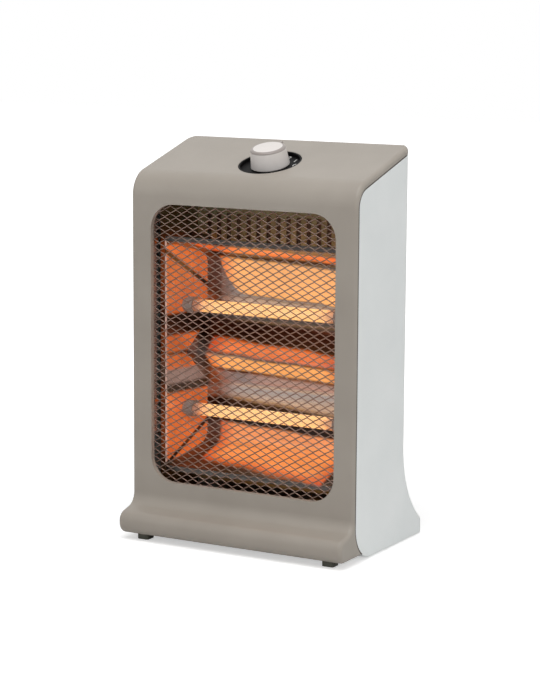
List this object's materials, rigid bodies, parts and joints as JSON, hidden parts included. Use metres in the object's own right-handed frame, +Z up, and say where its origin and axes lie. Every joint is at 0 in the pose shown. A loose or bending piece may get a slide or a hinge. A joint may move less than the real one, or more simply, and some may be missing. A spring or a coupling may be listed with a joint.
{
  "type": "quartz heater",
  "caption": "Upright electric quartz heater: folded front shell with a mesh window over lit tubes in a polished reflector, pale side panels, sloping top with a turning knob.",
  "frame": {"origin": "on the floor under the middle of the heater's outline", "axes": "+Z up, +Y to the back, +X to the right as seen from the front"},
  "size_m": [0.24, 0.178, 0.3804],
  "materials": {
    "shell_taupe": "satin",
    "panel_pale": "satin",
    "cover_grey": "fine grain",
    "base_black": "matte",
    "foot_rubber": "matte",
    "mesh_steel": "bright, expanded",
    "bright_aluminium": "polished",
    "zinc_steel": "zinc plated",
    "quartz": "milky quartz",
    "hot_coil": "glowing",
    "cap_ceramic": "unglazed",
    "dial_black": "matte",
    "knob_white": "satin gloss",
    "switch_black": "matte",
    "spring_steel": "drawn wire",
    "screw_steel": "zinc plated",
    "plunger_white": "matte"
  },
  "bodies": {
    "case": {"base_plate": "base_black", "base_screws": "screw_steel", "chassis_left": "zinc_steel", "chassis_right": "zinc_steel", "chassis_screws": "screw_steel", "cord_inlet_bush": "base_black", "dial_dish": "dial_black", "end_cap_lower_left": "cap_ceramic", "end_cap_lower_right": "cap_ceramic", "end_cap_upper_left": "cap_ceramic", "end_cap_upper_right": "cap_ceramic", "foot_front_left": "foot_rubber", "foot_front_right": "foot_rubber", "foot_rear_left": "foot_rubber", "foot_rear_right": "foot_rubber", "front_grille": "mesh_steel", "front_shell": "shell_taupe", "grille_screws": "screw_steel", "heat_shield": "zinc_steel", "heating_coil_lower": "hot_coil", "heating_coil_upper": "hot_coil", "quartz_tube_lower": "quartz", "quartz_tube_upper": "quartz", "rear_cover": "cover_grey", "reflector": "bright_aluminium", "reflector_end_left": "bright_aluminium", "reflector_end_right": "bright_aluminium", "reflector_screws": "screw_steel", "rotary_switch": "switch_black", "shield_screws": "screw_steel", "side_panel_left": "panel_pale", "side_panel_right": "panel_pale", "side_panel_screws": "screw_steel", "switch_nut": "spring_steel", "terminal_block": "cap_ceramic", "thermal_cutout": "zinc_steel", "tip_spring": "spring_steel", "tip_switch_housing": "switch_black", "tube_terminals": "spring_steel"},
    "knob": {"knob": "knob_white", "switch_shaft": "spring_steel"},
    "plunger": {"tip_plunger": "plunger_white"}
  },
  "joints": [
    {"name": "knob_turn", "type": "hinge", "parent": "case", "child": "knob", "pos_m": [0.003, -0.015, 0.36122], "axis": [0, -0.284, 0.9588], "range_deg": [-60, 0]},
    {"name": "plunger_slide", "type": "slide", "parent": "case", "child": "plunger", "axis": [0, 0, 1], "range_m": [-0.005, 0], "stiffness_N_per_m": 120, "springref_m": -0.008, "deforming": ["tip_spring"]}
  ]
}
